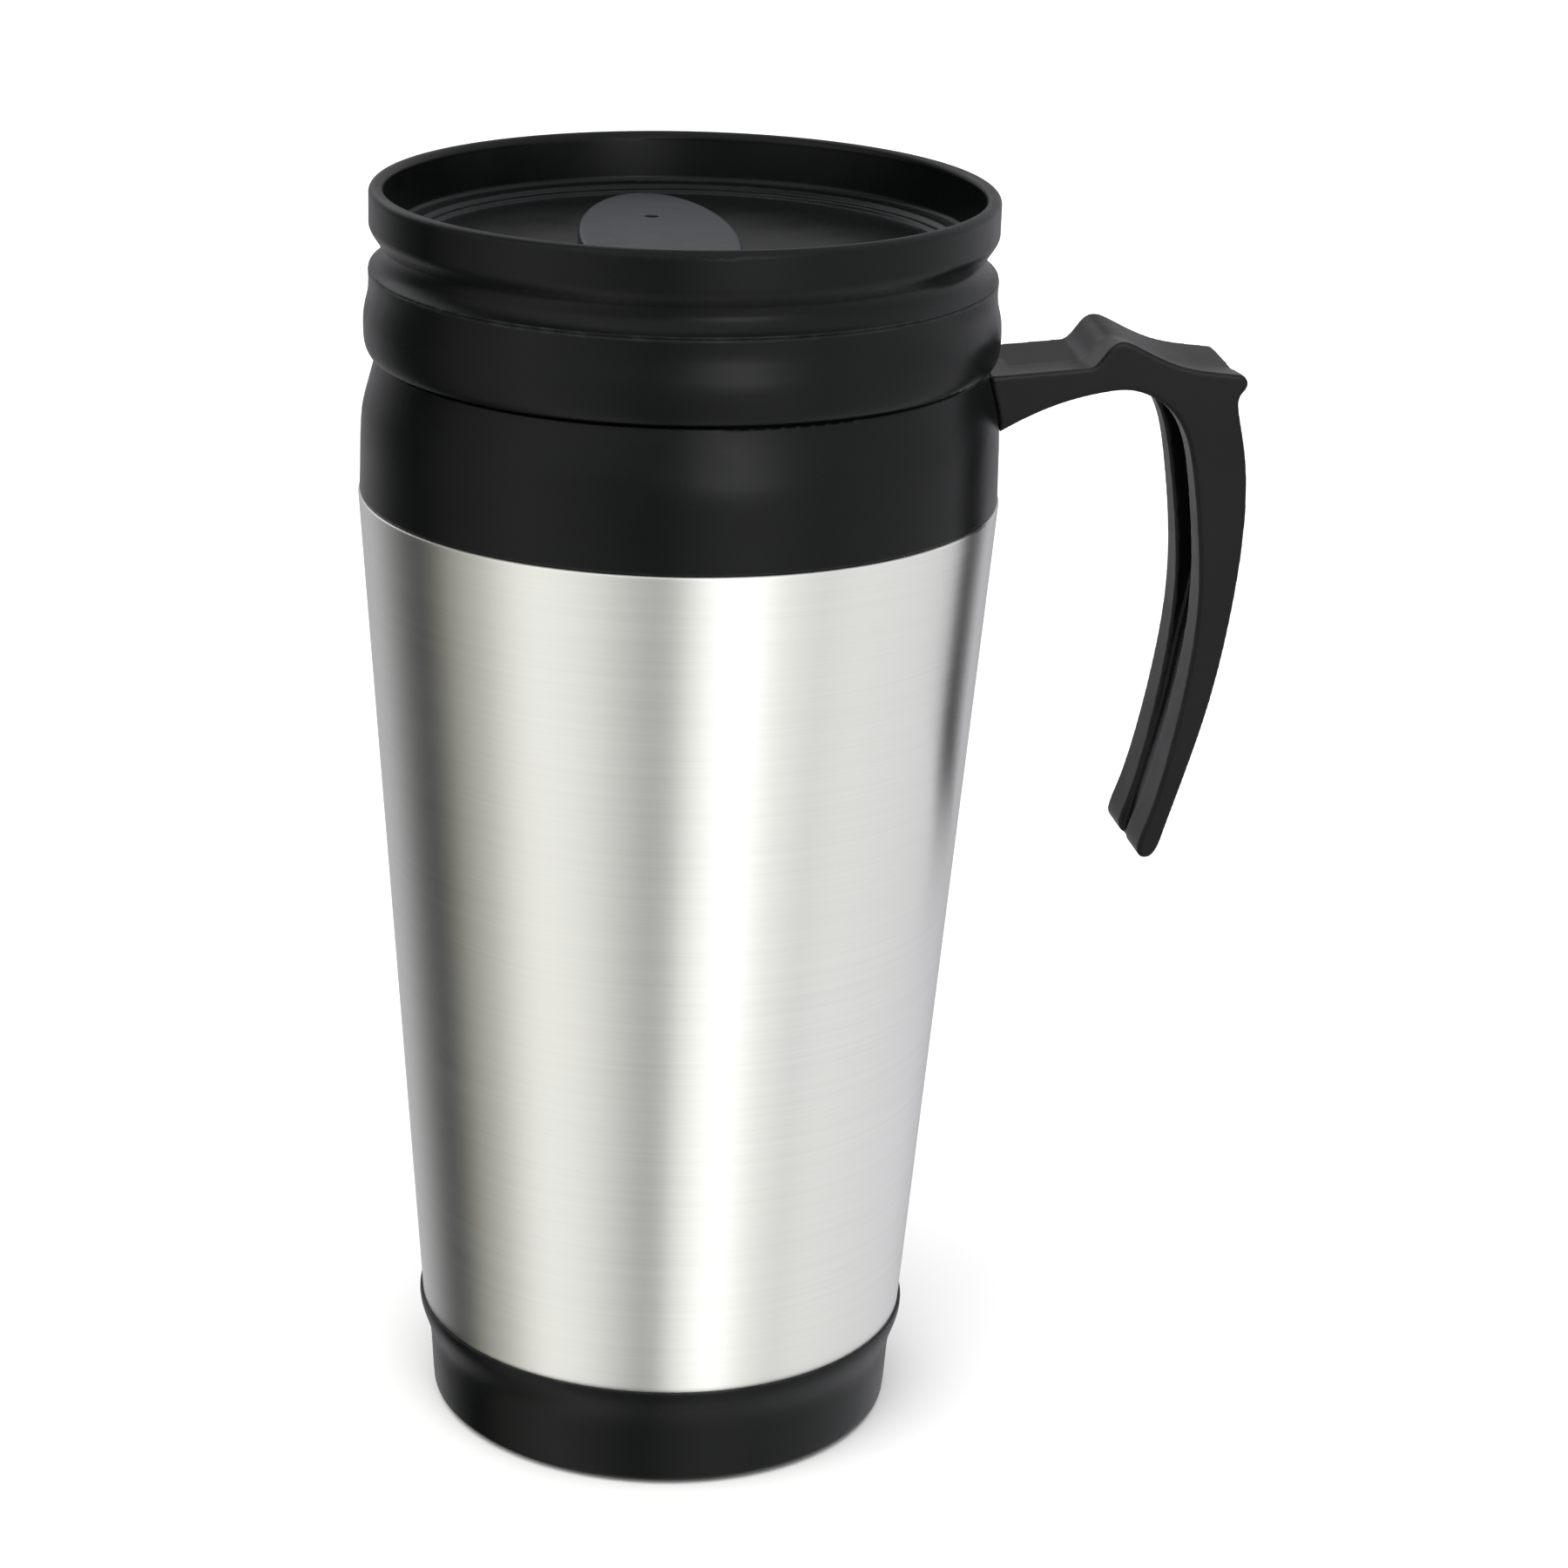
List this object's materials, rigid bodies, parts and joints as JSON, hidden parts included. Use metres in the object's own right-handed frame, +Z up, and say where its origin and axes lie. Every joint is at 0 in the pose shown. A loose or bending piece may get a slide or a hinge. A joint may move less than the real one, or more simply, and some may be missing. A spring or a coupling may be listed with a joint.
{
  "type": "insulated travel mug",
  "caption": "Tapered steel travel mug with a plastic collar, screw lid, swivel closure, open hook handle and plastic foot.",
  "frame": {"origin": "on the mug's axis, in the plane it stands on, at the middle of the foot pad", "axes": "+Z up along the mug's axis, +X towards the handle, -Y is the drinking side"},
  "size_m": [0.1212, 0.0874, 0.177],
  "materials": {
    "shell_steel": "fine brushing round the body",
    "liner_steel": "satin, drawn lines along the wall",
    "body_plastic": "satin black moulded plastic",
    "handle_plastic": "satin black moulded plastic, semi-gloss on the grip",
    "lid_plastic": "satin black moulded plastic",
    "closure_plastic": "satin blue-black moulded plastic",
    "pad_rubber": "matt rubber",
    "silicone": "translucent grey silicone",
    "foam": "white closed-cell foam",
    "screw_steel": "plated steel"
  },
  "bodies": {
    "mug": {"outer_shell": "shell_steel", "inner_liner": "liner_steel", "collar": "body_plastic", "handle": "handle_plastic", "handle_screws": "screw_steel", "liner_seal": "silicone", "shell_seal": "silicone", "insulation_sleeve": "foam", "insulation_disc": "foam", "base_cap": "body_plastic", "base_seal": "silicone", "foot_pad": "pad_rubber"},
    "gasket": {"lid_gasket": "silicone"},
    "lid": {"lid_top": "lid_plastic", "lid_skirt": "lid_plastic"},
    "closure": {"closure": "closure_plastic", "closure_seal": "silicone", "vent_seal": "silicone", "closure_washer": "screw_steel", "closure_screw": "screw_steel"}
  },
  "joints": [
    {"name": "lid_lift", "type": "slide", "parent": "mug", "child": "gasket", "axis": [0, 0, 1], "range_m": [0, 0.0181]},
    {"name": "lid_turn", "type": "hinge", "parent": "gasket", "child": "lid", "pos_m": [0, 0, 0.1547], "axis": [0, 0, 1], "range_deg": [0, 540]},
    {"name": "closure_turn", "type": "hinge", "parent": "lid", "child": "closure", "pos_m": [-0.0038, -0.0034, 0.169], "axis": [0, 0, 1], "range_deg": [0, 45]}
  ],
  "couplings": [
    {"joint": "lid_lift", "follows": "lid_turn", "m_per_rad": 0.0019099}
  ]
}
